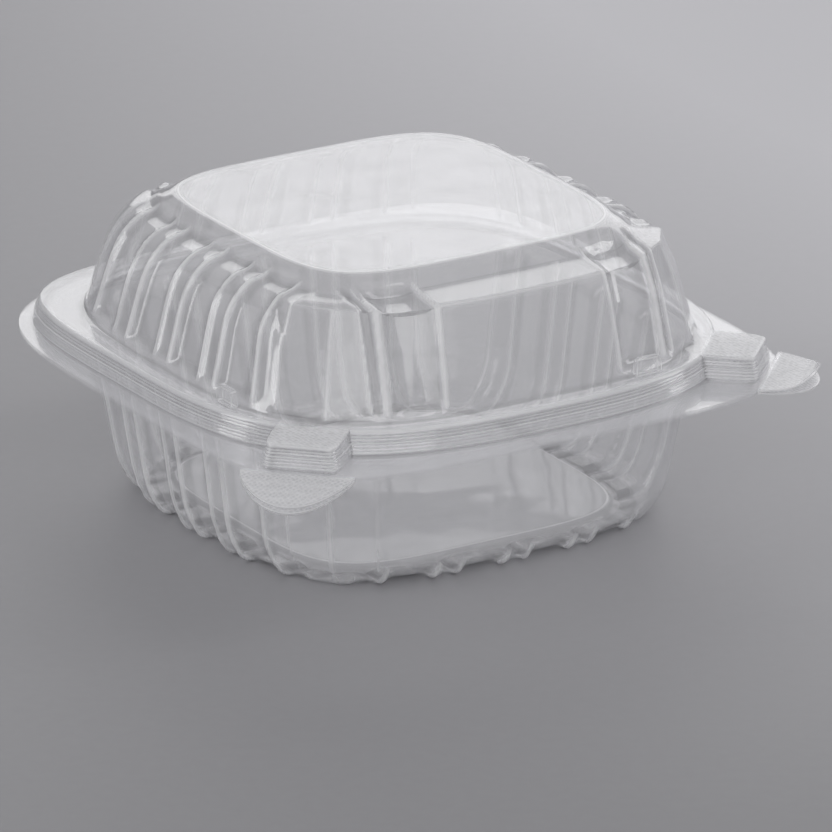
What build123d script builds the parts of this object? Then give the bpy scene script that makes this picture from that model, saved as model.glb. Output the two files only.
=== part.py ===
"""Clear hinged-lid take-out container, pressure formed from one sheet of plastic.

The frame stands on the feet: +Z is up, the latches face -Y and the hinge runs along +Y.
Each zone of the sheet (floor, walls, corners, rims, tabs, latches) is a node of its own,
and neighbouring zones meet face to face.  All sizes are in millimetres.
"""
import math
import os

from build123d import *

# ---------------------------------------------------------------- sheet and clearances
sheet = 0.4                 # gauge of the formed sheet
lip_gap = 0.3               # air between the lid's lip and the base's lip when shut
nest_gap = 0.35             # air between the base's bead and the lid's skirt, all round
flex_gap = 0.3              # air between a lid tab and the lip that it bends from

# ---------------------------------------------------------------- heights
seam_z = 37.3               # the plane in which lid and base part, and the hinge's height
floor_z = 2.2               # top of the raised floor panel
haunch_z = 8.0              # where the base's walls turn in towards the feet
bead_z = 42.3               # top of the base's sealing bead
ledge_z = 43.6              # top of the lid's ledge
brow_z = 62.5               # where the lid's walls turn in towards the shoulder
shoulder_z = 68.4           # top of the shoulder round the lid's collar
top_z = 72.3                # top of the lid's flat panel

# ---------------------------------------------------------------- plans
# A plan is a bowed square: half width, half depth to the front and to the back,
# and how square it is at the front and at the back.
floor_plan = (42.6, 42.9, 42.1, 4.5, 4.5)
foot_plan = (53.6, 55.1, 54.3, 3.1, 3.1)
haunch_plan = (57.4, 58.4, 58.2, 3.2, 3.2)
wall_top_plan = (62.4, 63.9, 64.6, 3.3, 3.3)
bead_top_plan = (66.8, 68.4, 69.1, 2.9, 4.8)
ledge_plan = (67.7, 69.3, 70.0, 2.9, 4.8)
lip_plan = (73.8, 76.6, 76.0, 4.8, 3.9)
brow_plan = (57.2, 58.1, 57.8, 3.6, 3.5)
shoulder_plan = (51.6, 52.6, 52.2, 3.7, 3.7)
collar_foot_plan = (46.8, 48.8, 47.0, 5.0, 5.0)
top_plan = (41.7, 42.5, 41.7, 4.6, 4.6)
skirt_spread = 1.1          # how far a skirt leans out on its way down to the lip
floor_step_spread = 1.6     # how far the step under the floor panel leans out

# ---------------------------------------------------------------- ribs on the walls
straight_half = 42.0        # a wall runs this far each way; its corners take over there
rib_pitch = 18.5            # from one pair of ridges to the next
outer_pair = 37.0           # middle of the pair nearest each end of a wall
ridge_split = 6.4           # between the two ridges of a pair
ridge_width = 4.2
rib_depth = 1.7             # how far the ridges stand proud of the valleys
rib_fade = 3.5              # height over which the ribs run out at each end
window_half = 22.5          # half width of the flat window in the lid's front wall
valley_width = 13.5         # the wide valley at each side of the window

# ---------------------------------------------------------------- front corners
tab_root = 89.2             # from the centre line to a tab's root, along the diagonal
tab_half = 13.2             # half width of a tab at its root
tab_reach = 12.2            # from its root to its tip
pad_inner = 74.4            # diagonal distances to a latch pad's two ends
pad_outer = 87.3
pad_half = 8.5              # half width of a latch pad at its top
pad_spread = 0.9            # how far its faces lean out on the way down
pad_joint = 0.1             # hairline between a pad and the skirt that it grows from
lug_size = (8.0, 2.0, 4.6)  # stacking lug at the foot of a lid wall: width, depth, height
lug_places = {"front": 29.5, "left": -31.0}    # wall, and how far along it

# ---------------------------------------------------------------- hinge
leaf_half = 46.0            # half length of the living hinge
leaf_reach = 0.6            # from the lips' furthest point back to a leaf's straight edge
fold_gap = 0.15             # from each leaf's edge to the fold line

corner_steps = 6            # spline spans round a corner wall
span_steps = 14             # along one side of a rim
ring_steps = 44             # round a whole plan
rib_step = 1.0              # along a ribbed wall
plain_step = 3.5            # along a plain one

base_lip_z = seam_z - lip_gap / 2      # upper face of the base's lip
lid_lip_z = seam_z + lip_gap / 2       # lower face of the lid's lip


def grown(plan, amount):
    """The same plan, larger by one amount all round."""
    half_x, front, back, *powers = plan
    return (half_x + amount, front + amount, back + amount, *powers)


def radius(plan, angle):
    """Distance from the middle to the plan's edge in one direction."""
    half_x, front, back, power_front, power_back = plan
    ahead = math.sin(angle) < 0
    half_y = front if ahead else back
    power = power_front if ahead else power_back
    spread = abs(math.cos(angle) / half_x) ** power + abs(math.sin(angle) / half_y) ** power
    return spread ** (-1 / power)


def arc_points(plan, z, start, end, steps):
    """Points on the plan's edge between two directions, in degrees."""
    points = []
    for i in range(steps + 1):
        angle = math.radians(start + (end - start) * i / steps)
        reach = radius(plan, angle)
        points.append(Vector(reach * math.cos(angle), reach * math.sin(angle), z))
    return points


def side_reach(plan, side, along):
    """Distance from the centre line to one side's edge, at a place along that side."""
    half_x, front, back, power_front, power_back = plan
    if side in ("left", "right"):
        half_y, power = (front, power_front) if along < 0 else (back, power_back)
        return half_x * (1 - abs(along / half_y) ** power) ** (1 / power)
    half_y, power = (front, power_front) if side == "front" else (back, power_back)
    return half_y * (1 - abs(along / half_x) ** power) ** (1 / power)


def side_point(plan, side, along, z, proud=0.0):
    """A point on one side of the plan, moved outwards by a height of rib."""
    reach = side_reach(plan, side, along) + proud
    place = {
        "left": (-reach, along),
        "right": (reach, along),
        "front": (along, -reach),
        "back": (along, reach),
    }[side]
    return Vector(*place, z)


def hump(offset, width):
    """A smooth bump of height 1 and the given width, centred on 0."""
    if abs(offset) >= width / 2:
        return 0.0
    return 0.5 + 0.5 * math.cos(2 * math.pi * offset / width)


def paired_ribs(along):
    """Height of the paired ridges at a place along a wall, from 0 to 1."""
    if abs(along) >= outer_pair + ridge_split / 2:
        return 1.0
    from_pair = (along + rib_pitch / 2) % rib_pitch - rib_pitch / 2
    return max(hump(from_pair + offset, ridge_width) for offset in (-ridge_split / 2, ridge_split / 2))


def window_relief(along):
    """Height of the front wall: flat window, a wide valley each side, flush to the corner."""
    part_way = (abs(along) - window_half) / valley_width
    if not 0 < part_way < 1:
        return 1.0
    return (2 * part_way - 1) ** 4


def plain(along):
    """Flush with the corners all the way."""
    return 1.0


def strip(outer, inner):
    """A flat face between two open curves, closed by a straight edge at each end."""
    edges = [
        Spline(*outer),
        Line(outer[-1], inner[-1]),
        Spline(*inner[::-1]),
        Line(inner[0], outer[0]),
    ]
    return make_face(edges)


def ribbon(outer, inner):
    """The same between two chains of points, joined by straight runs."""
    return make_face(Polyline(*outer, *inner[::-1], close=True))


def plan_at(levels, z):
    """The plan at a height, between the levels above and below it."""
    for (low, z_low), (high, z_high) in zip(levels, levels[1:]):
        if z <= z_high:
            break
    part_way = (z - z_low) / (z_high - z_low)
    return tuple(a + (b - a) * part_way for a, b in zip(low, high))


def section_heights(levels):
    """Heights of a wall's sections: its levels, and where its ribs have run out."""
    foot, head = levels[0][1], levels[-1][1]
    return sorted({z for _, z in levels} | {foot + rib_fade, head - rib_fade})


def wall(levels, side, relief):
    """One side wall: a leaning ribbon of sheet whose ribs run out at foot and head."""
    steps = 2 * round(straight_half / (plain_step if relief is plain else rib_step))
    places = [straight_half * (2 * i / steps - 1) for i in range(steps + 1)]
    sections = []
    for z in section_heights(levels):
        plan = plan_at(levels, z)
        share = 0 if z in (levels[0][1], levels[-1][1]) else 1
        proud = [share * rib_depth * (relief(place) - 1) for place in places]
        outer = [side_point(plan, side, s, z, p) for s, p in zip(places, proud)]
        thin = grown(plan, -sheet)
        inner = [side_point(thin, side, s, z, p) for s, p in zip(places, proud)]
        sections.append(ribbon(outer, inner))
    return loft(sections, ruled=True)


def corner_points(plan, z, left, front):
    """Points round one corner of the plan, between the ends of the two walls."""
    across = side_reach(plan, "left", -straight_half if front else straight_half)
    ahead = side_reach(plan, "front" if front else "back", straight_half)
    start = math.degrees(math.atan2(straight_half, across))
    end = math.degrees(math.atan2(ahead, straight_half))
    if front:
        start, end = -start, -end
    if left:
        start, end = 180 - start, 180 - end
    return arc_points(plan, z, start, end, corner_steps)


def corner(levels, left, front):
    """One corner wall between two side walls."""
    sections = []
    for z in section_heights(levels):
        plan = plan_at(levels, z)
        outer = corner_points(plan, z, left, front)
        inner = corner_points(grown(plan, -sheet), z, left, front)
        sections.append(strip(outer, inner))
    return loft(sections, ruled=True)


def whole_plan(plan, z):
    """The flat face inside a plan's edge."""
    points = arc_points(plan, z, 0, 360, ring_steps)[:-1]
    return Face(Wire([Spline(*points, periodic=True)]))


def plate(plan, z_top):
    """A flat panel of sheet, its upper face at a height."""
    return extrude(whole_plan(plan, z_top - sheet), sheet, dir=(0, 0, 1))


def ring_plate(outer_plan, inner_plan, z_top):
    """A flat ring of sheet between two plans, its upper face at a height."""
    return plate(outer_plan, z_top) - plate(inner_plan, z_top)


def frustum(plan_low, plan_high, z_low, z_high):
    """The solid between a low plan and a high one."""
    return loft([whole_plan(plan_low, z_low), whole_plan(plan_high, z_high)], ruled=True)


def across(plan_low, plan_high, z_low, z_high):
    """Level distance through a leaning band of sheet."""
    run, rise = plan_low[0] - plan_high[0], z_high - z_low
    return sheet * math.hypot(run, rise) / rise


def ring_wall(plan_low, plan_high, z_low, z_high):
    """A closed leaning band of sheet."""
    inset = across(plan_low, plan_high, z_low, z_high)
    inside = frustum(grown(plan_low, -inset), grown(plan_high, -inset), z_low, z_high)
    return frustum(plan_low, plan_high, z_low, z_high) - inside


rim_spans = {"right": (-45, 45), "back": (45, 135), "left": (135, 225), "front": (225, 315)}


def band_plate(inner_plan, outer_plan, z_top, side):
    """One side's length of a flat band, mitred at the corners."""
    span = rim_spans[side]
    outer = arc_points(outer_plan, z_top - sheet, *span, span_steps)
    inner = arc_points(inner_plan, z_top - sheet, *span, span_steps)
    return extrude(strip(outer, inner), sheet, dir=(0, 0, 1))


def rim(inner_plan, crest_plan, crest_z, lip_top, side):
    """One side of a rim: flat crest, skirt leaning out on its way down, flat lip."""
    span = rim_spans[side]
    skirt_foot = grown(crest_plan, skirt_spread)
    sections = []
    for plan, z in ((skirt_foot, lip_top - sheet), (crest_plan, crest_z)):
        outer = arc_points(plan, z, *span, span_steps)
        inner = arc_points(grown(plan, -sheet), z, *span, span_steps)
        sections.append(strip(outer, inner))
    skirt = loft(sections, ruled=True)
    crest = band_plate(inner_plan, grown(crest_plan, -sheet / 2), crest_z, side)
    lip = band_plate(grown(skirt_foot, -sheet / 2), lip_plan, lip_top, side)
    return crest + skirt + lip


def corner_plane(left, distance, z):
    """A plane at a front corner: its X runs along the chord, its Y points to the middle."""
    side = -1 if left else 1
    reach = distance / math.sqrt(2)
    return Plane(origin=(side * reach, -reach, z), x_dir=(1, side, 0), z_dir=(0, 0, 1))


def corner_block(left, inner, outer, half, spread, z_low, z_high):
    """A block across a front corner whose outer faces lean out towards its foot."""
    sections = []
    for z, lean in ((z_low, spread), (z_high, 0)):
        length = outer + lean - inner
        frame = corner_plane(left, inner + length / 2, z)
        sections.append(frame * Rectangle(2 * (half + lean), length))
    return loft(sections, ruled=True)


def pad_parts(left, crest_plan, crest_z, foot_z, inset):
    """A latch pad outside a rim's skirt, and the space that it takes out of the rim."""
    outer, half = pad_outer - inset, pad_half - inset
    block = corner_block(left, pad_inner, outer, half, pad_spread, foot_z, crest_z)
    hollow = corner_block(
        left, pad_inner, outer - sheet, half - sheet, pad_spread, foot_z - sheet, crest_z - sheet
    )
    joint_plan = grown(crest_plan, pad_joint)
    skirt_solid = frustum(grown(joint_plan, skirt_spread), joint_plan, foot_z, crest_z)
    outside = block - skirt_solid
    return outside - hollow, outside + hollow


def tongue(left, distance, half, reach, z_top):
    """A round-ended tab on a front corner."""
    frame = corner_plane(left, distance, z_top - sheet)
    end = ThreePointArc((-half, 0), (0, -reach), (half, 0))
    outline = make_face([end, Line((half, 0), (-half, 0))])
    return extrude(frame * outline, sheet, dir=(0, 0, 1))


def past_chord(left, distance):
    """The space outside a tab's root, taken off the lips."""
    reach = lip_plan[0]
    return corner_block(left, distance, distance + reach, reach, 0, 0, top_z)


def lug(side, along):
    """A small block on the ledge, against the foot of a lid wall."""
    width, depth, height = lug_size
    reach = side_reach(wall_top_plan, side, abs(along) - width / 2) + depth / 2
    size = (width, depth) if side in ("front", "back") else (depth, width)
    middle = {
        "left": (-reach, along),
        "right": (reach, along),
        "front": (along, -reach),
        "back": (along, reach),
    }[side]
    return Pos(*middle, ledge_z + height / 2) * Box(*size, height)


def leaf(z_top):
    """Half of the living hinge: it fills the bow of the back lip up to the fold line."""
    places = [leaf_half * (2 * i / span_steps - 1) for i in range(span_steps + 1)]
    lip_edge = [side_point(lip_plan, "back", s, z_top - sheet) for s in places]
    fold = [Vector(s, fold_y - fold_gap, z_top - sheet) for s in (-leaf_half, leaf_half)]
    outline = [Spline(*lip_edge), Line(lip_edge[-1], fold[1]), Line(fold[1], fold[0])]
    outline.append(Line(fold[0], lip_edge[0]))
    return extrude(make_face(outline), sheet, dir=(0, 0, 1))


fold_y = lip_plan[2] + leaf_reach + fold_gap    # the fold line lies just behind the leaves
parts = {}
sides = {"front": window_relief, "back": paired_ribs, "left": paired_ribs, "right": paired_ribs}
corners = {
    "front_left": (True, True),
    "front_right": (False, True),
    "back_left": (True, False),
    "back_right": (False, False),
}

# ---------------------------------------------------------------- base: floor and feet
step_foot_plan = grown(floor_plan, floor_step_spread)
parts["base_floor_panel"] = plate(floor_plan, floor_z)
parts["base_floor_step"] = ring_wall(step_foot_plan, floor_plan, sheet, floor_z - sheet)
step_inset = across(step_foot_plan, floor_plan, sheet, floor_z - sheet)
parts["base_foot_ring"] = ring_plate(foot_plan, grown(step_foot_plan, -step_inset), sheet)

# ---------------------------------------------------------------- base: walls and rims
base_levels = [(foot_plan, sheet), (haunch_plan, haunch_z), (wall_top_plan, bead_z - sheet)]
for side, relief in sides.items():
    pattern = plain if side == "front" else relief
    parts[f"base_wall_{side}"] = wall(base_levels, side, pattern)
for name, place in corners.items():
    parts[f"base_corner_{name}"] = corner(base_levels, *place)
for side in sides:
    parts[f"base_rim_{side}"] = rim(
        grown(wall_top_plan, -sheet), bead_top_plan, bead_z, base_lip_z, side
    )

# ---------------------------------------------------------------- lid: panel, collar, shoulder
parts["lid_top_panel"] = plate(top_plan, top_z)
parts["lid_collar"] = ring_wall(collar_foot_plan, top_plan, shoulder_z, top_z - sheet)
collar_inset = across(collar_foot_plan, top_plan, shoulder_z, top_z - sheet)
shoulder_inner = grown(collar_foot_plan, -collar_inset)
parts["lid_shoulder"] = ring_plate(shoulder_plan, shoulder_inner, shoulder_z)

# ---------------------------------------------------------------- lid: walls and rims
lid_levels = [(wall_top_plan, ledge_z), (brow_plan, brow_z), (shoulder_plan, shoulder_z - sheet)]
for side, relief in sides.items():
    parts[f"lid_wall_{side}"] = wall(lid_levels, side, relief)
for name, place in corners.items():
    parts[f"lid_corner_{name}"] = corner(lid_levels, *place)
for side in sides:
    parts[f"lid_rim_{side}"] = rim(
        grown(wall_top_plan, -sheet), ledge_plan, ledge_z, lid_lip_z + sheet, side
    )

# ---------------------------------------------------------------- front corners
for name, left in (("left", True), ("right", False)):
    stud_inset = sheet + nest_gap
    stud, stud_space = pad_parts(left, bead_top_plan, bead_z, base_lip_z - sheet, stud_inset)
    pad, pad_space = pad_parts(left, ledge_plan, ledge_z, lid_lip_z, 0)
    base_off = stud_space + past_chord(left, tab_root)
    lid_off = pad_space + past_chord(left, tab_root - flex_gap)
    for side in (name, "front"):
        parts[f"base_rim_{side}"] -= base_off
        parts[f"lid_rim_{side}"] -= lid_off
    parts[f"base_latch_stud_{name}"] = stud
    parts[f"lid_latch_pad_{name}"] = pad
    parts[f"base_tab_{name}"] = tongue(left, tab_root, tab_half, tab_reach, base_lip_z)
    parts[f"lid_tab_{name}"] = tongue(left, tab_root, tab_half, tab_reach, lid_lip_z + sheet)

# ---------------------------------------------------------------- stacking lugs
for side, along in lug_places.items():
    parts[f"lid_stacking_lug_{side}"] = lug(side, along)

# ---------------------------------------------------------------- living hinge
parts["base_hinge_leaf"] = leaf(base_lip_z)
parts["lid_hinge_leaf"] = leaf(lid_lip_z + sheet)

os.makedirs("parts", exist_ok=True)
for name, part in parts.items():
    export_step(part, f"parts/{name}.step")
    print(f"{name}: {len(part.solids())} solid(s), {part.volume:.1f} mm3")
print("fold line: y", round(fold_y, 3), "z", seam_z)
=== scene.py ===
# %% [markdown]
# # A clear hinged-lid container
# One sheet of clear plastic is pressed into a tray and a lid that share a fold along the back.
# The packed CAD model is the frame: it fixes the size, the bodies and the joints.
# The CAD zones could be shown as they are, but their ribs are cut straight and their corners are
# sharp.  So each zone of the sheet is computed again here as a smooth grid, with its ribs, latches
# and stippled tabs, and is then given a see-through material, a floor and soft studio light.

import bpy
import numpy as np
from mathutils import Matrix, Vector


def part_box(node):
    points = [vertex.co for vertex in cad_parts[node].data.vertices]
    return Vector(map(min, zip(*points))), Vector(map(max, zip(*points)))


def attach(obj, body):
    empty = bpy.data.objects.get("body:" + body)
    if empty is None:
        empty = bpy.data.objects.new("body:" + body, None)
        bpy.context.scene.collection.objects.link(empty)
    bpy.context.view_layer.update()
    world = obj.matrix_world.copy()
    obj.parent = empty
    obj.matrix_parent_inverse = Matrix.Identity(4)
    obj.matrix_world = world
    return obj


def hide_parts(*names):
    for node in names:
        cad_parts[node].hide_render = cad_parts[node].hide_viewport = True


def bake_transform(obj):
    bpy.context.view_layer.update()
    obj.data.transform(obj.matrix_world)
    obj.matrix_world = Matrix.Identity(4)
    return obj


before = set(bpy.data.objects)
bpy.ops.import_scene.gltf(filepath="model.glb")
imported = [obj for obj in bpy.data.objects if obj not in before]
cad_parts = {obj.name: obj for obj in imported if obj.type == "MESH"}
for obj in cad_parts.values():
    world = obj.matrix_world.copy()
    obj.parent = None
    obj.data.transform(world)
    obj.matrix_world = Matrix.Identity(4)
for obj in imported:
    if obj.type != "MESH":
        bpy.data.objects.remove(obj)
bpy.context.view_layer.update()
MM = 0.001

# %% [markdown]
# ## Sizes
# A *station* is one place on the sheet's cross-section: a bowed square (half width, half depth
# to the front and to the back, squareness at the front and at the back) and a height, all in
# millimetres.  A zone of the sheet runs from one station to the next.
# The tray and the lid could be pulled into shape by hand.  A table is used instead, because one
# row of it then moves a whole ring of the sheet, and both halves are made by the same functions.

# %% Stations
SHEET = 0.4                                 # gauge of the sheet
LID_LIP, TRAY_LIP = 37.65, 36.95            # heights of the two lips
LEDGE, BEAD = 43.4, 42.1                    # heights of the lid's ledge and of the tray's bead
FOLD_Y, FOLD_Z, FOLD_HALF = 76.6, 37.3, 46.0
TAB_ROOT, TAB_HALF, TAB_REACH = 89.05, 13.2, 12.2
PAD_OUTER, PAD_HALF = 87.3, 8.5             # a lid latch: its far end, and its half width
STUD_INSET = 0.75                           # how much smaller the tray's latch is inside it

LID = np.array([
    (73.8, 76.6, 76.0, 4.8, 3.9, LID_LIP),  # 0 lip's edge
    (68.6, 70.2, 70.9, 2.9, 4.8, LID_LIP),  # 1 foot of the skirt
    (68.1, 69.7, 70.4, 2.9, 4.8, 40.7),     # 2 step between the skirt's two tiers
    (67.5, 69.1, 69.8, 2.9, 4.8, LEDGE),    # 3 outer edge of the ledge
    (62.2, 63.7, 64.4, 3.3, 3.3, LEDGE),    # 4 foot of the wall
    (57.0, 57.9, 57.6, 3.5, 3.5, 62.5),     # 5 brow
    (51.6, 52.4, 52.0, 3.9, 3.9, 68.0),     # 6 shoulder
    (46.6, 48.6, 46.8, 5.0, 5.0, 68.7),     # 7 foot of the collar
    (41.6, 42.4, 41.6, 4.6, 4.6, 72.1),     # 8 edge of the top panel
    (0.4, 0.4, 0.4, 2.0, 2.0, 72.1),        # 9 middle of the top panel
])
LID_FRONT = LID.copy()                      # the front has a crisp brow, high on the wall
LID_FRONT[5] = (58.6, 60.0, 59.0, 3.15, 3.2, 60.0)
LID_FRONT[6] = (56.0, 57.7, 56.0, 3.05, 3.1, 67.6)
# how far the rounding at each station reaches, and the number of rows between two stations
LID_ROUNDING = (0, 0.5, 0.15, 0.9, 0.7, 6.0, 3.2, 1.0, 0.9, 0)
LID_FRONT_ROUNDING = (0, 0.5, 0.15, 0.9, 0.7, 0.5, 0.7, 1.0, 0.9, 0)
LID_ROWS = (5, 13, 13, 10, 26, 8, 7, 8, 14)

TRAY = np.array([
    (73.8, 76.6, 76.0, 4.8, 3.9, TRAY_LIP), # 0 lip's edge
    (67.7, 69.3, 70.0, 2.9, 4.8, TRAY_LIP), # 1 foot of the bead
    (66.6, 68.2, 68.9, 2.9, 4.8, BEAD),     # 2 outer edge of the bead
    (62.2, 63.7, 64.4, 3.3, 3.3, BEAD),     # 3 head of the wall
    (57.4, 58.4, 58.2, 3.2, 3.2, 8.0),      # 4 haunch
    (53.2, 54.6, 53.8, 3.1, 3.1, 0.2),      # 5 foot
    (44.4, 44.7, 43.9, 4.5, 4.5, 0.2),      # 6 foot of the floor's step
    (42.6, 42.9, 42.1, 4.5, 4.5, 2.0),      # 7 edge of the floor panel
    (0.4, 0.4, 0.4, 2.0, 2.0, 2.0),         # 8 middle of the floor panel
])
TRAY_ROUNDING = (0, 0.5, 0.9, 0.9, 6.0, 3.0, 0.5, 0.5, 0)
TRAY_ROWS = (5, 6, 8, 30, 10, 9, 4, 14)
print("stations:", len(LID), "in the lid,", len(TRAY), "in the tray")

# %% [markdown]
# ## Directions
# Every ring of the sheet uses the same directions from the middle, so the rings join up into a
# grid of quads.  Equal steps of angle would be the simplest, but they are too wide at the corners.
# The directions are therefore spaced evenly along a typical ring, and closer together where the
# flanks of the corner latches need them.

# %% Columns
COLUMNS = 840


def from_front(theta):
    """Angle from the middle of the front, in degrees: |theta + 90|, taken from 0 to 180."""
    return np.abs((np.degrees(theta) + 90 + 180) % 360 - 180)


def off_diagonal(theta):
    """Angle off the nearer front diagonal, in degrees: the angle from the front, less 45."""
    return from_front(theta) - 45


def edge_radius(stations, theta):
    """Distance from the middle to the edge of a bowed square:
    r = (|cos t / a|^n + |sin t / b|^n)^(-1/n), with b and n those of the front where sin t < 0."""
    a, front, back, n_front, n_back = (stations[:, i, None] for i in range(5))
    ahead = np.sin(theta) < 0
    b = np.where(ahead, front, back)
    n = np.where(ahead, n_front, n_back)
    return (np.abs(np.cos(theta) / a) ** n + np.abs(np.sin(theta) / b) ** n) ** (-1 / n)


def spaced_columns(count):
    """Directions with equal shares of a typical ring's length, weighted by
    1 + 6 exp(-(d / 1.2)^2), where d is the angle from a latch's flank in degrees."""
    fine = np.linspace(-np.pi, np.pi, 14401)
    typical_ring = np.array([(65.0, 66.0, 66.0, 3.3, 3.3)])
    flank_angle = 5.9
    r = edge_radius(typical_ring, fine)[0]
    x, y = r * np.cos(fine), r * np.sin(fine)
    off_flank = np.abs(np.abs(off_diagonal(fine)) - flank_angle)
    weight = 1 + 6 * np.exp(-((off_flank / 1.2) ** 2))
    steps = np.hypot(np.diff(x), np.diff(y)) * (weight[1:] + weight[:-1]) / 2
    share = np.concatenate([[0], np.cumsum(steps)])
    return np.interp(np.arange(count) / count * share[-1], share, fine)


theta = spaced_columns(COLUMNS)
print("columns:", len(theta))

# %% [markdown]
# ## Cross-sections
# Warm plastic drawn over a mould has no sharp corner.  A cross-section is therefore a chain of
# straight runs with rounded corners.  A Bevel modifier could round them, but a corner made of
# rows of the grid keeps every piece a plain grid.  Each row keeps a *place*: 4.5 is halfway
# between stations 4 and 5.

# %% Rows


def bend_points(before, corner, after, reach, count=5):
    """A rounded corner: p = (1-t)^2 a + 2 t (1-t) b + t^2 c, where a and c lie at a given
    distance from the corner b along its two runs."""
    legs = [np.hypot(*(other - corner)[[0, 5]]) for other in (before, after)]
    cuts = [min(reach, 0.45 * leg) / leg for leg in legs]
    a, c = corner + (before - corner) * cuts[0], corner + (after - corner) * cuts[1]
    t = np.linspace(0, 1, count)[:, None]
    points = (1 - t) ** 2 * a + 2 * t * (1 - t) * corner + t**2 * c
    return points, -cuts[0] + t[:, 0] * (cuts[0] + cuts[1])


def cross_section(stations, rounding, rows):
    """Stations all along the chain, and the place of each: on a straight run
    p = start + t (end - start), with t in equal steps, and at a corner the rounded corner."""
    points, places = [stations[:1]], [np.zeros(1)]
    for i, count in enumerate(rows):
        start, start_place = points[-1][-1], places[-1][-1]
        if i + 1 < len(stations) - 1 and rounding[i + 1]:
            arc, offsets = bend_points(stations[i], stations[i + 1], stations[i + 2], rounding[i + 1])
        else:
            arc, offsets = stations[i + 1 : i + 2], np.zeros(1)
        t = np.linspace(0, 1, count + 1)[1:-1]
        points.append(start + t[:, None] * (arc[0] - start))
        places.append(start_place + t * (i + 1 + offsets[0] - start_place))
        points.append(arc)
        places.append(i + 1 + offsets)
    return np.concatenate(points), np.concatenate(places)


lid_rows, lid_place = cross_section(LID, LID_ROUNDING, LID_ROWS)
lid_front_rows, lid_front_place = cross_section(LID_FRONT, LID_FRONT_ROUNDING, LID_ROWS)
tray_rows, tray_place = cross_section(TRAY, TRAY_ROUNDING, TRAY_ROWS)
print("rows:", len(lid_rows), "in the lid,", len(tray_rows), "in the tray")

# %% [markdown]
# ## Rings
# The rings follow the bowed squares, except in a few places.  The front corners of the walls are
# flat facets, the rim swells out into a latch across each front corner, the lip is cut straight
# where a tab begins, and it runs out straight to the fold at the back.
# Boolean blocks could add the latches, but they leave seams that a clear sheet shows at once.
# Here each feature changes the radius of the ring instead, so the sheet stays one surface.

# %% Ring shapes


def ramp(x, low, high):
    """Smooth step from 0 at low to 1 at high: t^2 (3 - 2 t), t = (x - low) / (high - low)."""
    t = np.clip((x - low) / (high - low), 0, 1)
    return t * t * (3 - 2 * t)


def faceted(radii, breaks):
    """Straight chords between directions given in degrees: on the chord from A to B the radius
    is cross(A, B) / cross(u, B - A), u being the unit vector of the direction."""
    out = radii.copy()
    for start, end in zip(breaks, breaks[1:]):
        t0, t1 = np.radians(start), np.radians(end)
        inside = (theta >= t0) & (theta <= t1)
        a_r = np.array([np.interp(t0, theta, row) for row in radii])[:, None]
        b_r = np.array([np.interp(t1, theta, row) for row in radii])[:, None]
        ax, ay, bx, by = (f(t) * r for r, t in ((a_r, t0), (b_r, t1)) for f in (np.cos, np.sin))
        ux, uy = np.cos(theta[inside]), np.sin(theta[inside])
        out[:, inside] = (ax * by - ay * bx) / (ux * (by - ay) - uy * (bx - ax))
    return out


CORNER_BREAKS = ((-145.0, -133.4, -124.1), (-55.9, -46.6, -35.0))


def with_facets(radii, share):
    """The share of a row that is faceted at the front corners, from 0 to 1."""
    flat = radii
    for breaks in CORNER_BREAKS:
        flat = faceted(flat, breaks)
    return radii + (flat - radii) * share[:, None]


def with_latches(radii, share, inset, spread):
    """The larger of the ring and a rounded rectangle across each front diagonal:
    r = ((cos f / outer)^14 + (|sin f| / half)^14)^(-1/14), f being the angle off the diagonal."""
    f = np.radians(off_diagonal(theta))
    outer = (PAD_OUTER - inset + spread)[:, None]
    half = (PAD_HALF - inset + spread)[:, None]
    near = np.abs(f) < np.radians(20)
    block = ((np.cos(f) / outer) ** 14 + (np.abs(np.sin(f)) / half) ** 14) ** (-1 / 14)
    swollen = np.where(near, np.maximum(radii, block), radii)
    return radii + (swollen - radii) * share[:, None]


def lip_edge(radii):
    """The lip's edge, cut along a chord at each tab's root and drawn out to the fold."""
    f = np.radians(off_diagonal(theta))
    chord = np.where(np.abs(f) < np.radians(30), TAB_ROOT / np.cos(f), 1e3)
    cut = np.minimum(radii, chord)
    x = radii * np.cos(theta)
    at_back = (np.sin(theta) > 0.5) & (np.abs(x) < FOLD_HALF)
    straight = FOLD_Y / np.where(at_back, np.sin(theta), 1)
    return np.where(at_back, straight, cut)


def rings(rows, place, walls, rim_foot, rim_top, inset):
    """Radius of every row in every direction: the bowed squares with facets between the two
    places in walls, latches on the rim that spread by 0.9 mm down to its foot, and a flat lip,
    r = outer + (inner - outer) t, outside the rim's foot."""
    radii = edge_radius(rows, theta)
    share = ramp(place, walls[0], walls[0] + 0.02) * (1 - ramp(place, walls[1], walls[1] + 0.6))
    radii = with_facets(radii, share)
    on_lip = place < rim_foot - 0.05
    in_rim = np.clip(rim_top + 1 - place, 0, 1) * (place > rim_foot - 0.05)
    spread = 0.9 * np.clip((rim_top - place) / (rim_top - rim_foot), 0, 1)
    radii = with_latches(radii, in_rim, inset, spread)
    first = np.argmax(~on_lip)
    inner, outer = radii[first], lip_edge(radii[0])
    t = (place[on_lip] / place[first])[:, None]
    radii[on_lip] = outer + (inner - outer) * t
    return radii


lid_radii = rings(lid_rows, lid_place, (4, 6), 1, 3, 0.0)
lid_front_radii = rings(lid_front_rows, lid_front_place, (4, 6), 1, 3, 0.0)
tray_radii = rings(tray_rows, tray_place, (3, 5), 1, 2, STUD_INSET)
print("widest ring:", round(float(lid_radii.max()), 1), "mm")

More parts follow.
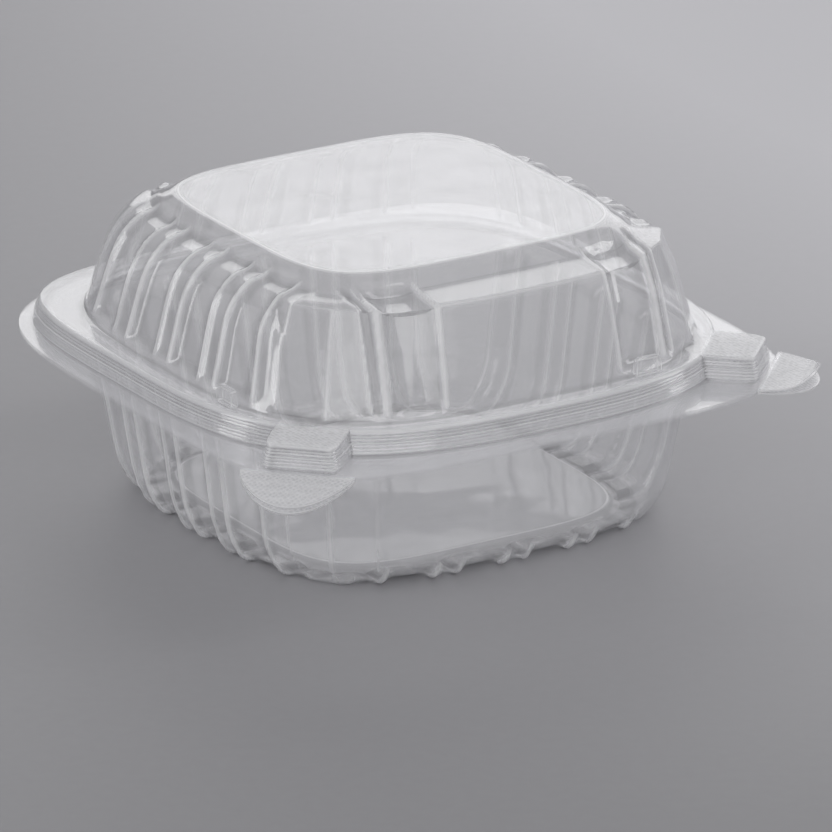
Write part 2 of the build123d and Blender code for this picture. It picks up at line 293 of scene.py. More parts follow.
# %% [markdown]
# ## Ribs
# Ribs stiffen the thin walls.  They could be bars joined to the wall, but on the real sheet they
# are the sheet itself.  So they are a height field: how far the sheet is drawn in, measured square
# to the smooth wall.  Pairs of ridges stand at a steady pitch on three sides.  The lid's front
# has a flat window between two wide valleys, and the tray's front has ribs at its foot only.

# %% Relief
LID_PITCH = ((4, 19.5), (5, 18.0), (6, 17.6), (9, 17.4))
TRAY_PITCH = ((3, 19.5), (4, 18.3), (5, 18.0), (8, 17.6))
LID_SPLIT, TRAY_SPLIT = 6.2, 6.0            # between the two ridges of a pair
RIB_DEPTH, VALLEY_DEPTH = 1.6, 1.8
WINDOW_HALF, WINDOW_TAPER = 23.6, 1.2       # half width at the foot, and how much less at the head
VALLEY_WIDTH, GROOVE_WIDTH = 13.0, 2.6
GROOVE_START = 14.2                         # from the window's edge to the groove at the facet


def paired_ribs(along, pitch, split):
    """0 on a ridge, -1 in a valley.  With d the distance from the middle of a pair: inside the
    pair -0.45 (1 - (2 d / split)^2), outside it -(1 - (1 - s)^2), s rising from 0 to 1."""
    d = np.abs((along + pitch / 2) % pitch - pitch / 2)
    crest = split / 2
    land = -0.45 * (1 - (d / crest) ** 2)
    s = np.clip((d - crest) / (0.55 * (pitch / 2 - crest)), 0, 1)
    height = np.where(d < crest, land, -(1 - (1 - s) ** 2))
    return np.where(np.abs(along) > 2 * pitch + crest, 0, height)


def window_relief(x, head):
    """The lid's front: 0 in the window, then a wide valley each side, -(1 - (2 u - 1)^4) with u
    from 0 to 1 across it, then a narrow groove before the corner's facet."""
    past_window = np.abs(x) - (WINDOW_HALF - WINDOW_TAPER * head)
    u = np.clip(past_window / VALLEY_WIDTH, 0, 1)
    valley = -(1 - (2 * u - 1) ** 4)
    v = np.clip((past_window - GROOVE_START) / GROOVE_WIDTH, 0, 1)
    return valley - 0.35 * (1 - (2 * v - 1) ** 2)


def on_sides(radii):
    """For every point: its place along its own wall, and whether that is the front wall.  The
    place is y on the left and right walls, and x on the front and back ones."""
    x, y = radii * np.cos(theta), radii * np.sin(theta)
    turn = (np.degrees(theta) + 360) % 360
    ahead = (turn > 225) & (turn < 315)
    flank = (turn <= 45) | (turn >= 315) | ((turn >= 135) & (turn <= 225))
    return np.where(flank, y, x), np.broadcast_to(ahead, radii.shape)


def lid_relief(radii, place):
    """Depth in millimetres at every point of the lid.  The skirt has a step halfway up and fine
    lines, 0.05 cos(8 pi place)."""
    along, ahead = on_sides(radii)
    pitch = np.interp(place, *zip(*LID_PITCH))[:, None]
    up = ramp(place, 4.02, 4.2)[:, None]
    over = (1 - 0.35 * ramp(place, 5.6, 7.0) - 0.65 * ramp(place, 7.0, 7.55))[:, None]
    ribs = RIB_DEPTH * paired_ribs(along, pitch, LID_SPLIT) * up * over
    head = np.clip((place - 4) / 2, 0, 1)[:, None]
    front = VALLEY_DEPTH * window_relief(along, head) * up * (1 - ramp(place, 6.9, 7.6)[:, None])
    in_skirt = ramp(place, 1.15, 1.25) * (1 - ramp(place, 2.7, 2.8))
    lines = in_skirt * (0.22 * (1 - ramp(place, 1.96, 2.04)) + 0.05 * np.cos(8 * np.pi * place))
    return np.where(ahead, front, ribs) + lines[:, None]


def tray_relief(radii, place):
    """Depth in millimetres at every point of the tray.  The ribs run out under its floor, and on
    the front wall they start only at the haunch."""
    along, ahead = on_sides(radii)
    pitch = np.interp(place, *zip(*TRAY_PITCH))[:, None]
    up = ramp(place, 3.03, 3.2)[:, None]
    low = ramp(place, 4.25, 4.8)[:, None]
    under = (1 - 0.25 * ramp(place, 5.0, 6.0) - 0.75 * ramp(place, 6.0, 6.6))[:, None]
    return RIB_DEPTH * paired_ribs(along, pitch, TRAY_SPLIT) * np.where(ahead, low, up) * under


print("deepest valley:", round(float(-lid_relief(lid_radii, lid_place).min()), 2), "mm")

# %% [markdown]
# ## From height field to sheet
# The smooth surface gives a normal at every point.  The relief moves the point along it, and the
# two faces of the sheet lie half a gauge to either side.  A Displace and a Solidify modifier could
# do the same.  Worked out here, the sharpness of each bend is known too, and the material needs it:
# it paints a highlight on the ridges and a shade in the grooves, where the bends of clear plastic show.

# %% Surfaces


def surface(radii, heights):
    """Points x = r cos t, y = r sin t at the rows' heights."""
    z = np.broadcast_to(heights[:, None], radii.shape)
    return np.stack([radii * np.cos(theta), radii * np.sin(theta), z], axis=-1)


def normals(points, wrap=True):
    """Unit cross product of the differences along and across the rows."""
    if wrap:
        along = np.roll(points, -1, axis=1) - np.roll(points, 1, axis=1)
    else:
        along = np.gradient(points, axis=1)
    across = np.gradient(points, axis=0)
    n = np.cross(along, across)
    return n / np.maximum(np.linalg.norm(n, axis=-1, keepdims=True), 1e-9)


def bend_of(points, n):
    """How sharply the sheet turns, from -1 in a groove to 1 on a ridge: with d the step between
    two neighbours and e the step of their normals, e . d / |d|, summed over both directions."""
    total = 0
    for step, turn in (
        (np.gradient(points, axis=0), np.gradient(n, axis=0)),
        (np.roll(points, -1, axis=1) - np.roll(points, 1, axis=1),
         np.roll(n, -1, axis=1) - np.roll(n, 1, axis=1)),
    ):
        length = np.maximum(np.linalg.norm(step, axis=-1), 1e-6)
        total = total + (step * turn).sum(axis=-1) / length
    return np.clip(total * 1.1, -1, 1)


def formed(points, relief, out):
    """The middle of the sheet after the relief, p + d n, its normals, and how sharply it bends.
    out is +1 or -1, so that the normals leave the container."""
    smooth = normals(points) * out
    points = points + smooth * relief[..., None]
    n = normals(points) * out
    return points, n, bend_of(points, n)


def blend_fronts():
    """The lid's surface: p = side + (front - side) f, where f fades from 1 to 0 past the front
    corners, so that the crisp front cross-section turns into the rounded one of the sides."""
    front = 1 - ramp(from_front(theta), 52.0, 57.0)
    side = surface(lid_radii, lid_rows[:, 5])
    face = surface(lid_front_radii, lid_front_rows[:, 5])
    place = lid_place[:, None] + (lid_front_place - lid_place)[:, None] * front
    relief = lid_relief(lid_radii, lid_place) * (1 - front) + lid_relief(
        lid_front_radii, lid_front_place
    ) * front
    return side + (face - side) * front[None, :, None], relief, place


def painted_highlight_line(row, station, before, after):
    """A painted highlight line along a station, exp(-(d / 0.3)^2), with d the distance from it in mm;
    before and after are the lengths of the two runs that meet there."""
    distance = np.where(row < station, before * (station - row), after * (row - station))
    return np.exp(-((distance / 0.3) ** 2))


def with_painted_floor_shade_and_highlight(bend, place):
    """The tray's bends with two painted marks added: a painted contact shadow of -0.7 in the hollow
    inside the foot, and a painted highlight line along the edge of the floor panel."""
    row = place[:, None]
    # painted contact shadow: the bend is pushed down in the hollow inside the foot, so the material
    # shades it dark
    foot_channel_shadow = ramp(row, 5.35, 5.55) * (1 - ramp(row, 6.75, 6.95))
    return np.clip(bend - 0.7 * foot_channel_shadow + painted_highlight_line(row, 7, 2.55, 42.0), -1, 1)


lid_smooth, lid_depth, lid_places = blend_fronts()
lid_mid, lid_normal, lid_bend = formed(lid_smooth, lid_depth, 1)
# painted highlight line along the edge of the lid's top panel
lid_bend = np.clip(lid_bend + painted_highlight_line(lid_places, 8, 6.5, 41.5), -1, 1)
tray_smooth = surface(tray_radii, tray_rows[:, 5])
tray_mid, tray_normal, tray_bend = formed(tray_smooth, tray_relief(tray_radii, tray_place), -1)
tray_bend = with_painted_floor_shade_and_highlight(tray_bend, tray_place)
print("lid normals point up at the top:", bool(lid_normal[-3, 0, 2] > 0))
print("tray normals point down at the floor:", bool(tray_normal[-3, 0, 2] < 0))

# %% [markdown]
# ## Pieces
# A piece is a patch of those grids given its two faces and closed round its borders.  Each point
# also carries two numbers for the material: how sharply the sheet bends, with painted highlight
# and painted shade added, and how stippled it is.
# The whole lid could be one mesh, but a few pieces let the rims be stippled and the floor be
# milky, and keep each mesh light.

# %% Faces


def quads(rows, cols, wrap):
    """Corner numbers of a grid's quads: (i, j), (i, j+1), (i+1, j+1), (i+1, j)."""
    across = cols if wrap else cols - 1
    i, j = np.meshgrid(np.arange(rows - 1), np.arange(across), indexing="ij")
    after = (j + 1) % cols
    corners = [i * cols + j, i * cols + after, (i + 1) * cols + after, (i + 1) * cols + j]
    return np.stack(corners, axis=-1).reshape(-1, 4)


def border_strip(loop, offset):
    """Quads between a border of one face and the same border of the other."""
    a, b = loop[:-1], loop[1:]
    return np.stack([b, a, a + offset, b + offset], axis=-1)


def face_up(faces, points):
    """The faces turned over if the closed mesh's volume, the sum of a . (b x c) / 6 over its
    triangles, is negative."""
    a, b, c, d = (points[faces[:, k]] for k in range(4))
    volume = np.einsum("ij,ij->i", a, np.cross(b, c)) + np.einsum("ij,ij->i", a, np.cross(c, d))
    return faces[:, ::-1] if volume.sum() < 0 else faces


print("a grid of 3 by 4 points that closes on itself has", len(quads(3, 4, True)), "quads")

# %% One piece
pieces = {}


def add_mesh(name, points, faces, values, body, nodes):
    """One Blender piece from points in millimetres.  values are its attributes; a corner number
    under 0 is left out of its face."""
    mesh = bpy.data.meshes.new(name)
    mesh.from_pydata((points * MM).tolist(), [], [[k for k in f if k >= 0] for f in faces.tolist()])
    for key, value in values.items():
        attribute = mesh.attributes.new(key, "FLOAT", "POINT")
        attribute.data.foreach_set("value", np.ascontiguousarray(value, np.float32).ravel())
    mesh.polygons.foreach_set("use_smooth", np.ones(len(mesh.polygons), bool))
    mesh.set_sharp_from_angle(angle=np.radians(40))
    mesh.update()
    piece = bpy.data.objects.new(name, mesh)
    bpy.context.scene.collection.objects.link(piece)
    if body:
        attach(piece, body)
    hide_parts(*nodes)
    pieces[name] = piece
    print(f"{name}: {len(mesh.polygons)} faces")
    return piece


def sheet_piece(
    name, mid, n, bend, stipple, body, nodes, wrap=True, gauge=SHEET
):
    """A closed piece of sheet: the two faces mid +- gauge n / 2, and a strip round each border."""
    rows, cols = mid.shape[:2]
    half = n * gauge / 2
    points = np.concatenate([(mid + half).reshape(-1, 3), (mid - half).reshape(-1, 3)])
    count = rows * cols
    front = quads(rows, cols, wrap)
    faces = [front, front[:, ::-1] + count]
    grid = np.arange(count).reshape(rows, cols)
    if wrap:
        loops = [np.append(grid[0], grid[0, 0]), np.append(grid[-1], grid[-1, 0])[::-1]]
    else:
        loops = [grid[0], grid[:, -1], grid[-1, ::-1], grid[::-1, 0]]
    faces += [border_strip(loop, count) for loop in loops]
    values = {"bend": np.tile(bend.ravel(), 2), "stipple": np.tile(stipple.ravel(), 2)}
    faces = face_up(np.concatenate(faces), points)
    return add_mesh(name, points, faces, values, body, nodes)


def disc_piece(name, mid, n, bend, body, nodes):
    """A closed piece of sheet whose last ring is filled, on each face, by a fan of triangles to
    its middle."""
    rows, cols = mid.shape[:2]
    half = n * SHEET / 2
    count = rows * cols
    centres = [(mid + half)[-1].mean(axis=0), (mid - half)[-1].mean(axis=0)]
    points = np.concatenate([(mid + half).reshape(-1, 3), (mid - half).reshape(-1, 3), centres])
    front = quads(rows, cols, True)
    last = np.arange(count - cols, count)
    following = np.roll(last, -1)
    hub = np.full(cols, 2 * count)
    cap = np.stack([last, following, hub, hub], axis=-1)
    other = np.stack([following + count, last + count, hub + 1, hub + 1], axis=-1)
    rim = np.append(np.arange(cols), 0)
    faces = np.concatenate([front, front[:, ::-1] + count, border_strip(rim, count), cap, other])
    faces = face_up(faces, points)
    faces = np.where(faces == np.roll(faces, 1, axis=1), -1, faces)
    bends = np.append(np.tile(bend.ravel(), 2), [0, 0])
    return add_mesh(name, points, faces, {"bend": bends, "stipple": 0 * bends}, body, nodes)


def row_at(place, value):
    """The first row at or past a place."""
    return int(np.argmax(place >= value - 1e-9))


print("the lid's walls start at row", row_at(lid_place, 4.0))

# %% [markdown]
# ## Stippled latch tops
# The tops of the corner latches are pressed against a rough patch of the mould, so that a thumb
# does not slip.  The pebbles are far too small to model.  An attribute says where they are, and
# the material raises them.

# %% Stipple


def on_pad(mid, z_top, inset):
    """1 on the top of a latch: inside its rectangle, within 0.5 mm of its top, and at the front."""
    f_angle = np.radians(off_diagonal(theta))
    at_front = np.sin(theta) < 0
    r = np.hypot(mid[..., 0], mid[..., 1])
    along, across = r * np.cos(f_angle), np.abs(r * np.sin(f_angle))
    inside = ramp(along, 74.8, 75.6) * (1 - ramp(along, PAD_OUTER - inset - 0.6, PAD_OUTER - inset))
    inside = inside * (1 - ramp(across, PAD_HALF - inset - 0.5, PAD_HALF - inset))
    return inside * ramp(mid[..., 2], z_top - 0.5, z_top - 0.2) * at_front


lid_stipple = on_pad(lid_mid, LEDGE, 0.0)
tray_stipple = on_pad(tray_mid, BEAD, STUD_INSET)
print("stippled points:", int((lid_stipple > 0.5).sum()), "on the lid")

# %% [markdown]
# ## Lid
# The lid's rim, its ribbed walls with the shoulder, and its flat top are three pieces that share
# the rows where they meet.  Each stands for the CAD nodes of its zone.

# %% Lid pieces
SIDES = ("front", "back", "left", "right")
CORNERS = ("front_left", "front_right", "back_left", "back_right")


def walls_of(half, last):
    """Names of a half's walls and corners, and of the ring that ends them."""
    return [f"{half}_wall_{s}" for s in SIDES] + [f"{half}_corner_{s}" for s in CORNERS] + [last]


def rim_of(half, latch):
    """Names of the four lengths of a half's rim, of its hinge leaf and of its two latches."""
    return [f"{half}_rim_{s}" for s in SIDES] + [
        f"{half}_hinge_leaf", f"{half}_{latch}_left", f"{half}_{latch}_right"
    ]


head, crown = row_at(lid_place, 4.0), row_at(lid_place, 7.0)
rim, walls, top = slice(0, head + 1), slice(head, crown + 1), slice(crown, None)
plain = np.zeros(lid_mid.shape[:2])
sheet_piece(
    "lid_rim", lid_mid[rim], lid_normal[rim], lid_bend[rim], lid_stipple[rim], "lid",
    rim_of("lid", "latch_pad"),
)
sheet_piece(
    "lid_walls", lid_mid[walls], lid_normal[walls], lid_bend[walls], plain[walls], "lid",
    walls_of("lid", "lid_shoulder"),
)
disc_piece(
    "lid_top", lid_mid[top], lid_normal[top], lid_bend[top], "lid", ["lid_top_panel", "lid_collar"]
)

# %% [markdown]
# ## Tray
# The tray is divided in the same way: its rim, its walls with the scalloped foot, and its floor,
# which is raised a little above what the container stands on.

# %% Tray pieces
head, foot = row_at(tray_place, 3.0), row_at(tray_place, 6.0)
rim, walls, bottom = slice(0, head + 1), slice(head, foot + 1), slice(foot, None)
plain = np.zeros(tray_mid.shape[:2])
sheet_piece(
    "tray_rim", tray_mid[rim], tray_normal[rim], tray_bend[rim], tray_stipple[rim], "base",
    rim_of("base", "latch_stud"),
)
sheet_piece(
    "tray_walls", tray_mid[walls], tray_normal[walls], tray_bend[walls], plain[walls], "base",
    walls_of("base", "base_foot_ring"),
)
disc_piece(
    "tray_floor", tray_mid[bottom], tray_normal[bottom], tray_bend[bottom], "base",
    ["base_floor_panel", "base_floor_step"],
)

# %% [markdown]
# ## Tabs
# Each front corner carries a tab on the lid and one on the tray.  They are round-ended tongues,
# bent a little up or down towards the tip, with a stippled face for the fingers.  A flat disc cut
# in half would be quicker, but a grid of rays lets each tongue droop or curl by a formula.

# %% Tabs


def tab(name, side, z, droop, curl, body, node):
    """Points on rays from the root's chord to the outline c = half sin a, d = reach cos(a)^1.2;
    height z - droop q^1.6 + curl q^4, with q the share of the reach."""
    a = np.radians(np.linspace(-86, 86, 61))[None, :]
    k = np.linspace(0, 1, 25)[:, None]
    across = TAB_HALF * np.sin(a) * np.ones_like(k)
    outward = TAB_REACH * np.cos(a) ** 1.2 * k
    q = outward / TAB_REACH
    height = z - droop * q**1.6 + curl * q**4
    d = TAB_ROOT + outward
    x = side * (d + across * side) / np.sqrt(2)
    y = -(d - across * side) / np.sqrt(2)
    mid = np.stack([x, y, height], axis=-1)
    n = normals(mid, wrap=False)
    stipple = ramp(q, 0.03, 0.12) * (1 - ramp(k * np.ones_like(a), 0.93, 0.99))
    # painted highlight along the tab's outer edge
    bend = 0.7 * ramp(k * np.ones_like(a), 0.95, 1.0)
    return sheet_piece(
        name, mid, n, bend, stipple, body, [node], wrap=False
    )


tab("lid_tab_left_sheet", -1, LID_LIP, 3.9, 0.0, "lid_tab_left", "lid_tab_left")
tab("lid_tab_right_sheet", 1, LID_LIP, 0.9, 3.2, "lid_tab_right", "lid_tab_right")
tab("tray_tab_left", -1, TRAY_LIP, 4.6, 0.0, "base", "base_tab_left")
tab("tray_tab_right", 1, TRAY_LIP, 1.2, 0.0, "base", "base_tab_right")

# %% [markdown]
# ## Fold
# The tray and the lid are joined along the back by a line pressed thin, so that it folds.  A pin
# and knuckles would be wrong: there is no separate hinge.  The fold is a thin half tube round the
# hinge's axis; it is not attached to either body.

# %% Fold
FOLD_GAUGE, FOLD_BOW = 0.16, 0.35


def fold_surface():
    """Points (x, y0 + bow cos a, z0 + bow sin a), a from -90 to 90 degrees, and their normals
    (0, cos a, sin a)."""
    x, a = np.meshgrid(np.linspace(-FOLD_HALF, FOLD_HALF, 93), np.radians(np.linspace(-90, 90, 13)))
    out = np.stack([0 * x, np.cos(a), np.sin(a)], axis=-1)
    return np.stack([x, FOLD_Y + 0 * x, FOLD_Z + 0 * x], axis=-1) + FOLD_BOW * out, out


fold_mid, fold_out = fold_surface()
flat = np.zeros(fold_mid.shape[:2])
# the bend of 0.25 over the whole fold is a painted highlight along it
fold = sheet_piece(
    "hinge_fold", fold_mid, fold_out, flat + 0.25, flat, None, [], wrap=False, gauge=FOLD_GAUGE
)
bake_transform(fold)

# %% [markdown]
# ## Stacking lugs
# Two small bumps stand on the ledge, against the foot of the lid's walls, and keep stacked lids
# apart.  A bevelled box would do from afar.  A rounded block with drawn-in sides is what a mould
# leaves, and it takes one formula.

# %% Stacking lugs


def squared(wave):
    """sign(w) |w|^0.4, which turns a circle's x or y into that of a rounded square."""
    return np.sign(wave) * np.abs(wave) ** 0.4


def lug(name, node):
    """A moulded bump in the place of its CAD node: |x/a|^5 + |y/b|^5 + |z/c|^5 = 1, with a, b and c
    its half sizes, and its width then drawn in from 1 at the foot to 0.86 at the head."""
    low, high = (np.array(p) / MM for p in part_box(node))
    low[2] += 0.05
    centre, half = (low + high) / 2, (high - low) / 2
    climb = np.linspace(-np.pi / 2, np.pi / 2, 23)[1:-1, None]
    turn = np.linspace(-np.pi, np.pi, 48, endpoint=False)[None, :]
    unit = np.stack([
        squared(np.cos(climb)) * squared(np.cos(turn)),
        squared(np.cos(climb)) * squared(np.sin(turn)),
        squared(np.sin(climb)) * np.ones_like(turn),
    ], axis=-1)
    unit[..., :2] *= 0.93 - 0.07 * unit[..., 2:]
    rows, cols = unit.shape[:2]
    count = rows * cols
    unit = np.concatenate([unit.reshape(-1, 3), [(0, 0, -1), (0, 0, 1)]])
    ring, no_corner = np.arange(cols), np.full(cols, -1)
    following = np.roll(ring, -1)
    last = count - cols
    under = np.stack([following, ring, np.full(cols, count), no_corner], axis=-1)
    over = np.stack([ring + last, following + last, np.full(cols, count + 1), no_corner], axis=-1)
    faces = np.concatenate([quads(rows, cols, True), under, over])
    edges = np.sort(np.abs(unit), axis=1)[:, 1]
    # painted highlight along the lug's edges
    values = {"bend": 0.9 * ramp(edges, 0.70, 0.85), "stipple": np.zeros(len(unit))}
    return add_mesh(name, centre + half * unit, faces, values, "lid", [node])


lug("lid_lug_front", "lid_stacking_lug_front")
lug("lid_lug_left", "lid_stacking_lug_left")

# %% [markdown]
# ## Shader arithmetic
# A small wrapper lets a formula be written as a formula: each operator adds Math nodes.  The
# nodes could be made and linked one by one, but then nobody could read what they work out.

# %% Sockets


class Socket:
    """A shader socket that takes part in sums."""

    def __init__(self, tree, socket=None):
        self.tree, self.socket = tree, socket

    def math(self, operation, *values):
        """One Math node on this socket and the given sockets or numbers."""
        made = self.tree.nodes.new("ShaderNodeMath")
        made.operation = operation
        for slot, value in zip(made.inputs, (self, *values)):
            self.feed(slot, value)
        return Socket(self.tree, made.outputs[0])

    def feed(self, slot, value):
        """Links a socket to an input, or sets the input to a constant."""
        if isinstance(value, Socket):
            self.tree.links.new(value.socket, slot)
        else:
            slot.default_value = value

    def node(self, kind, settings=None, output=0, **inputs):
        """Any other node: its type, its settings, and its inputs by name, with _ for a space, or
        by number, as i2.  The settings are set first."""
        made = self.tree.nodes.new("ShaderNode" + kind)
        for key, value in (settings or {}).items():
            setattr(made, key, value)
        for key, value in inputs.items():
            name = key.replace("_", " ")
            slot = made.inputs[int(key[1:])] if key[1:].isdigit() else made.inputs[name]
            self.feed(slot, value)
        return Socket(self.tree, made.outputs[output])

    def __add__(self, other):
        return self.math("ADD", other)

    def __mul__(self, other):
        return self.math("MULTIPLY", other)

    def __sub__(self, other):
        return self.math("SUBTRACT", other)

    def __pow__(self, other):
        return self.math("POWER", other)

    def __rsub__(self, other):
        return (self * -1.0) + other

    __radd__, __rmul__ = __add__, __mul__


def new_material(name):
    """An empty material, its graph and its output's surface input."""
    material = bpy.data.materials.new(name)
    material.use_nodes = True
    material.node_tree.nodes.clear()
    output = material.node_tree.nodes.new("ShaderNodeOutputMaterial")
    return material, Socket(material.node_tree), output.inputs["Surface"]


print("operators:", " ".join(k for k in vars(Socket) if k.strip("_") in "add mul sub pow rsub"))

# %% [markdown]
# ## Clear plastic
# The real sheet is glossy and clear, and only a little milky.  A glass shader could draw it, but
# light goes straight through a sheet this thin, and glass would need many more rays to look the
# same.  So the body of it is a transparent shader.  Each face mirrors a share
# F = R0 + (1 - R0) (1 - cos)^5 of what is around it.  A little white haze comes on top, and much
# more on the stippled faces and on the tray's floor.  Where the sheet is bent to a ridge, more white
# is put on as a painted highlight; where it is bent to a groove, a dark shader is put in as painted
# shade.

# %% Clear material
FACE_MIRROR = 0.055                         # R0, for one face of the sheet


def clear_plastic(name, stippled, haze):
    """The material of the sheet: haze is the share of light that it scatters.  The bend attribute
    paints a highlight on ridges as white haze and a shade in grooves as a dark shader.  The stippled
    kind adds pebbles where the attribute asks."""
    material, g, surface = new_material(name)
    where = g.node("TexCoord", output=3)
    bend = g.node("Attribute", {"attribute_name": "bend"}, output=2)
    ripple = g.node("TexNoise", Vector=where, Scale=55.0, Detail=1.0)
    streaks = g.node("Mapping", Vector=where, Scale=(45.0, 45.0, 800.0))
    lines = g.node("TexNoise", Vector=streaks, Scale=1.0, Detail=2.0)
    normal = g.node("Bump", Height=ripple, Strength=0.35, Distance=0.0012)
    facing = g.node("LayerWeight", output=1, Blend=0.5, Normal=normal)
    mirror = FACE_MIRROR + (1 - FACE_MIRROR) * facing**5.0
    # ridge and groove drive painted light: a painted highlight of white haze on ridges, painted shade in
    # grooves
    ridge, groove = bend.math("MAXIMUM", 0.0), (0.0 - bend).math("MAXIMUM", 0.0)
    rough = 0.03 + 0.05 * lines + 0.10 * ridge
    # the white haze: the sheet's own milkiness, plus a painted highlight on ridges
    haze_and_painted_highlight = haze + 0.05 * lines + 0.60 * ridge
    if stippled:
        stipple = g.node("Attribute", {"attribute_name": "stipple"}, output=2)
        cells = g.node("TexVoronoi", {"feature": "F1"}, Vector=where, Scale=1050.0, Randomness=0.35)
        normal = g.node("Bump", Height=cells, Normal=normal, Strength=stipple * 0.9, Distance=0.00025)
        rough = rough + 0.40 * stipple
        haze_and_painted_highlight = haze_and_painted_highlight + stipple * (0.06 + 0.50 * cells)
    white = g.node(
        "BsdfPrincipled", Base_Color=(0.975, 0.975, 0.98, 1), Metallic=1.0, Roughness=rough, Normal=normal
    )
    milk = g.node("BsdfPrincipled", Base_Color=(0.96, 0.96, 0.97, 1), Roughness=0.6, Normal=normal)
    clear = g.node("BsdfTransparent", Color=(0.996, 0.996, 0.998, 1))
    # painted shade: a dark grey shader mixed into the clear body where the sheet is bent to a groove
    shade = g.node("BsdfPrincipled", Base_Color=(0.16, 0.16, 0.17, 1), Roughness=0.6)
    inner = g.node("MixShader", i0=(0.48 * groove).math("MINIMUM", 0.5), i1=clear, i2=shade)
    body = g.node("MixShader", i0=haze_and_painted_highlight, i1=inner, i2=milk)
    whole = g.node("MixShader", i0=mirror, i1=body, i2=white)
    g.feed(surface, whole)
    return material


smooth_plastic = clear_plastic("clear_plastic", False, 0.10)
pebbled_plastic = clear_plastic("stippled_plastic", True, 0.10)
floor_plastic = clear_plastic("floor_plastic", False, 0.30)


def finish_of(name):
    """The material of a piece: milky for the tray's floor, stippled for rims and tabs."""
    if name == "tray_floor":
        return floor_plastic
    return pebbled_plastic if "rim" in name or "tab" in name else smooth_plastic


for name, piece in pieces.items():
    piece.data.materials.append(finish_of(name))
print("clear plastic on", len(pieces), "pieces")

# %% [markdown]
# ## Floor
# A clear thing takes its tones from what is behind it, so the floor matters as much as the
# material.  A flat plane and a wall would show a line between them.  This floor is one sheet that
# curves up far behind the container, in a matt grey with painted light that makes it paler towards the
# back.

# %% Floor


def floor_material():
    """Matt grey with painted light that makes it paler towards the back and the right:
    0.395 (1 + 1.3 y + x (1.2 + 6.5 y)), with a very faint grain."""
    material, g, surface = new_material("floor_grey")
    where = g.node("TexCoord", output=3)
    grain = g.node("TexNoise", Vector=where, Scale=300.0, Detail=3.0)
    x, y = (g.node("SeparateXYZ", output=k, Vector=where) for k in (0, 1))
    # painted light: the grey brightens towards the back and the right in place of the light's falloff
    level = (1.0 + 1.3 * y + x * (1.2 + 6.5 * y)) * 0.395 + 0.02 * grain
    level = level.math("MAXIMUM", 0.30).math("MINIMUM", 0.66)
    shade = g.node(
        "Mix", {"data_type": "RGBA"}, output=2, i0=level, i6=(0, 0, 0, 1), i7=(1.0, 0.99, 1.03, 1)
    )
    g.feed(surface, g.node("BsdfPrincipled", Base_Color=shade, Roughness=0.55))
    return material


def floor():
    """A level floor that curves up at the back, in metres: y = t up to the bend, then a quarter
    circle y = 2.2 + 1.5 sin a, z = 1.5 (1 - cos a)."""
    bend_y, radius = 2.2, 1.5
    a = np.linspace(0, np.pi / 2, 14)[1:]
    level = np.linspace(-4, bend_y, 20)
    depth = np.concatenate([level, bend_y + radius * np.sin(a)])
    height = np.concatenate([0 * level, radius - radius * np.cos(a)])
    x, y = np.meshgrid(np.linspace(-4, 4, 9), depth)
    z = np.broadcast_to(height[:, None], x.shape)
    points = np.stack([x, y, z], axis=-1).reshape(-1, 3)
    mesh = bpy.data.meshes.new("floor")
    mesh.from_pydata(points.tolist(), [], quads(*x.shape, False).tolist())
    mesh.polygons.foreach_set("use_smooth", np.ones(len(mesh.polygons), bool))
    made = bpy.data.objects.new("floor", mesh)
    bpy.context.scene.collection.objects.link(made)
    mesh.materials.append(floor_material())
    made.rotation_euler.z = np.radians(-31.8)
    return made


print("floor:", len(floor().data.polygons), "faces")

# %% [markdown]
# ## Light
# Clear plastic shows lights as reflections.  Bare lamps would give it hard white dots, so soft
# boxes stand behind, in front, above and beside it.  The one behind is what the flat top mirrors,
# the narrow ones at the sides draw the bright lines on the ribs, and the world fills the rest.

# %% Light


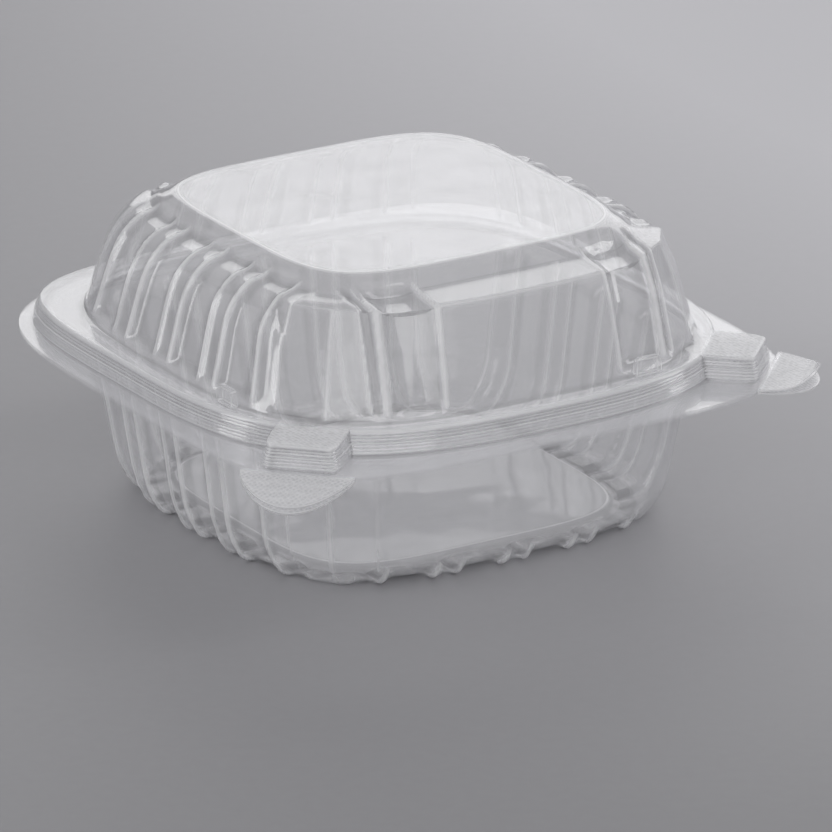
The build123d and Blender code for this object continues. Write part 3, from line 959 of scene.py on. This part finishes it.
def softbox(name, place, size, radiance, aim=(0, 0, 0.04)):
    """A rectangle of light; a box of area A that shines evenly at L gives pi A L watts."""
    light = bpy.data.lights.new(name, "AREA")
    light.shape, light.size, light.size_y = "RECTANGLE", *size
    light.energy = np.pi * size[0] * size[1] * radiance
    made = bpy.data.objects.new(name, light)
    made.location = place
    made.rotation_mode = "QUATERNION"
    made.rotation_quaternion = (Vector(aim) - Vector(place)).to_track_quat("-Z", "Y")
    bpy.context.scene.collection.objects.link(made)
    return made


softbox("box_back", (1.35, 2.05, 1.10), (2.1, 1.6), 1.16)
softbox("box_front", (-1.6, -2.9, 1.4), (4.6, 2.6), 0.95)
softbox("box_left", (-1.7, 0.6, 0.7), (0.5, 1.4), 2.6)
softbox("box_right", (1.75, -0.7, 0.8), (0.5, 1.4), 2.4)
softbox("box_high", (0.9, -0.9, 2.0), (0.7, 0.7), 1.2)

scene = bpy.context.scene
world = bpy.data.worlds.new("studio")
scene.world = world
world.use_nodes = True
world.node_tree.nodes["Background"].inputs["Color"].default_value = (0.40, 0.40, 0.41, 1)
world.node_tree.nodes["Background"].inputs["Strength"].default_value = 1.0

# %% [markdown]
# ## Camera
# A long lens from two metres away keeps the sides of the container nearly parallel.  A ray may
# pass through dozens of clear faces, so the limit on them is high.

# %% Camera
camera = bpy.data.objects.new("camera", bpy.data.cameras.new("camera"))
scene.collection.objects.link(camera)
camera.data.sensor_width, camera.data.lens = 36.0, 394.17
eye, target = Vector((-1.04223, -1.69441, 0.75438)), Vector((0.004515, -0.004083, 0.019573))
camera.location = eye
camera.rotation_mode = "QUATERNION"
camera.rotation_quaternion = (target - eye).to_track_quat("-Z", "Y")
camera.data.clip_start, camera.data.clip_end = 0.05, 50.0
scene.camera = camera

scene.view_settings.view_transform = "Standard"
scene.cycles.transparent_max_bounces = 64
scene.cycles.max_bounces = 16
scene.cycles.glossy_bounces = 8
scene.cycles.diffuse_bounces = 4
scene.cycles.use_denoising = True
print("camera:", round((target - eye).length, 2), "m away, lens", round(camera.data.lens), "mm")

# %% [markdown]
